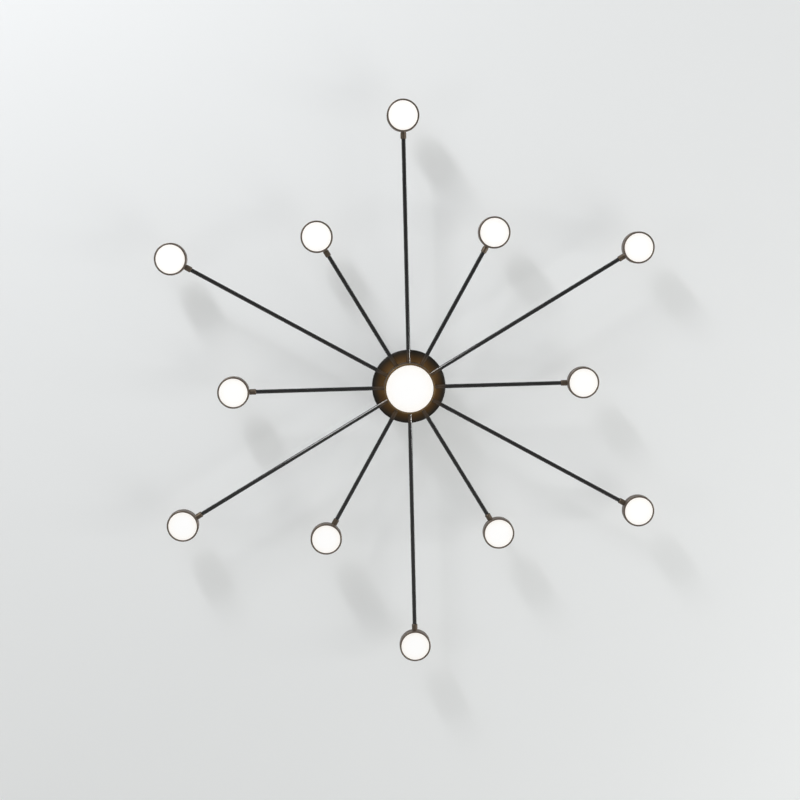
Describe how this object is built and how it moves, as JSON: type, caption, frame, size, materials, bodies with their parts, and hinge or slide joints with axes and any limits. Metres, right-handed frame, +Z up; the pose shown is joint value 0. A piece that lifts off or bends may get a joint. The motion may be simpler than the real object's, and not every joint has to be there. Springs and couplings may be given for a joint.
{
  "type": "flush ceiling light",
  "caption": "Flush LED ceiling light: a round middle lamp on a ceiling cup, with long and short arms that each carry a turnable disc head with an opal diffuser.",
  "frame": {"origin": "centre of the bracket's screw slots, in the ceiling plane", "axes": "+Z up into the ceiling; +X along the bracket and along a short arm"},
  "size_m": [0.7866, 0.9004, 0.0602],
  "materials": {
    "black_metal": "satin black powder coat",
    "black_aluminium": "satin black coat on turned aluminium",
    "opal_diffuser": "opal acrylic, lit from behind",
    "led_board": "white solder mask",
    "bracket_steel": "zinc plated",
    "screw_steel": "zinc plated",
    "driver_plastic": "moulded",
    "block_plastic": "moulded"
  },
  "bodies": {
    "ceiling_frame": {"ceiling_bracket": "bracket_steel", "ceiling_cup": "black_metal", "cup_screws": "screw_steel", "hub_screws": "screw_steel", "led_driver": "driver_plastic", "terminal_block": "block_plastic", "hub_plate": "black_metal", "lamp_body": "black_aluminium", "lamp_led_board": "led_board", "lamp_diffuser": "opal_diffuser", "arm_01": "black_metal", "arm_02": "black_metal", "arm_03": "black_metal", "arm_04": "black_metal", "arm_05": "black_metal", "arm_06": "black_metal", "arm_07": "black_metal", "arm_08": "black_metal", "arm_09": "black_metal", "arm_10": "black_metal", "arm_11": "black_metal", "arm_12": "black_metal", "arm_couplers": "black_aluminium", "swivel_nuts": "screw_steel"},
    "head_01": {"head_casing_01": "black_aluminium", "head_diffuser_01": "opal_diffuser", "head_led_board_01": "led_board"},
    "head_02": {"head_casing_02": "black_aluminium", "head_diffuser_02": "opal_diffuser", "head_led_board_02": "led_board"},
    "head_03": {"head_casing_03": "black_aluminium", "head_diffuser_03": "opal_diffuser", "head_led_board_03": "led_board"},
    "head_04": {"head_casing_04": "black_aluminium", "head_diffuser_04": "opal_diffuser", "head_led_board_04": "led_board"},
    "head_05": {"head_casing_05": "black_aluminium", "head_diffuser_05": "opal_diffuser", "head_led_board_05": "led_board"},
    "head_06": {"head_casing_06": "black_aluminium", "head_diffuser_06": "opal_diffuser", "head_led_board_06": "led_board"},
    "head_07": {"head_casing_07": "black_aluminium", "head_diffuser_07": "opal_diffuser", "head_led_board_07": "led_board"},
    "head_08": {"head_casing_08": "black_aluminium", "head_diffuser_08": "opal_diffuser", "head_led_board_08": "led_board"},
    "head_09": {"head_casing_09": "black_aluminium", "head_diffuser_09": "opal_diffuser", "head_led_board_09": "led_board"},
    "head_10": {"head_casing_10": "black_aluminium", "head_diffuser_10": "opal_diffuser", "head_led_board_10": "led_board"},
    "head_11": {"head_casing_11": "black_aluminium", "head_diffuser_11": "opal_diffuser", "head_led_board_11": "led_board"},
    "head_12": {"head_casing_12": "black_aluminium", "head_diffuser_12": "opal_diffuser", "head_led_board_12": "led_board"}
  },
  "joints": [
    {"name": "head_01_twist", "type": "hinge", "parent": "ceiling_frame", "child": "head_01", "pos_m": [0.25275, 0, -0.0392], "axis": [1, 0, 0], "range_deg": [-90, 90]},
    {"name": "head_02_twist", "type": "hinge", "parent": "ceiling_frame", "child": "head_02", "pos_m": [0.34533, 0.19937, -0.0392], "axis": [0.866, 0.5, 0], "range_deg": [-90, 90]},
    {"name": "head_03_twist", "type": "hinge", "parent": "ceiling_frame", "child": "head_03", "pos_m": [0.12637, 0.21889, -0.0392], "axis": [0.5, 0.866, 0], "range_deg": [-90, 90]},
    {"name": "head_04_twist", "type": "hinge", "parent": "ceiling_frame", "child": "head_04", "pos_m": [0, 0.39875, -0.0392], "axis": [0, 1, 0], "range_deg": [-90, 90]},
    {"name": "head_05_twist", "type": "hinge", "parent": "ceiling_frame", "child": "head_05", "pos_m": [-0.12637, 0.21889, -0.0392], "axis": [-0.5, 0.866, 0], "range_deg": [-90, 90]},
    {"name": "head_06_twist", "type": "hinge", "parent": "ceiling_frame", "child": "head_06", "pos_m": [-0.34533, 0.19937, -0.0392], "axis": [-0.866, 0.5, 0], "range_deg": [-90, 90]},
    {"name": "head_07_twist", "type": "hinge", "parent": "ceiling_frame", "child": "head_07", "pos_m": [-0.25275, 0, -0.0392], "axis": [-1, 0, 0], "range_deg": [-90, 90]},
    {"name": "head_08_twist", "type": "hinge", "parent": "ceiling_frame", "child": "head_08", "pos_m": [-0.34533, -0.19937, -0.0392], "axis": [-0.866, -0.5, 0], "range_deg": [-90, 90]},
    {"name": "head_09_twist", "type": "hinge", "parent": "ceiling_frame", "child": "head_09", "pos_m": [-0.12637, -0.21889, -0.0392], "axis": [-0.5, -0.866, 0], "range_deg": [-90, 90]},
    {"name": "head_10_twist", "type": "hinge", "parent": "ceiling_frame", "child": "head_10", "pos_m": [0, -0.39875, -0.0392], "axis": [0, -1, 0], "range_deg": [-90, 90]},
    {"name": "head_11_twist", "type": "hinge", "parent": "ceiling_frame", "child": "head_11", "pos_m": [0.12637, -0.21889, -0.0392], "axis": [0.5, -0.866, 0], "range_deg": [-90, 90]},
    {"name": "head_12_twist", "type": "hinge", "parent": "ceiling_frame", "child": "head_12", "pos_m": [0.34533, -0.19937, -0.0392], "axis": [0.866, -0.5, 0], "range_deg": [-90, 90]}
  ]
}
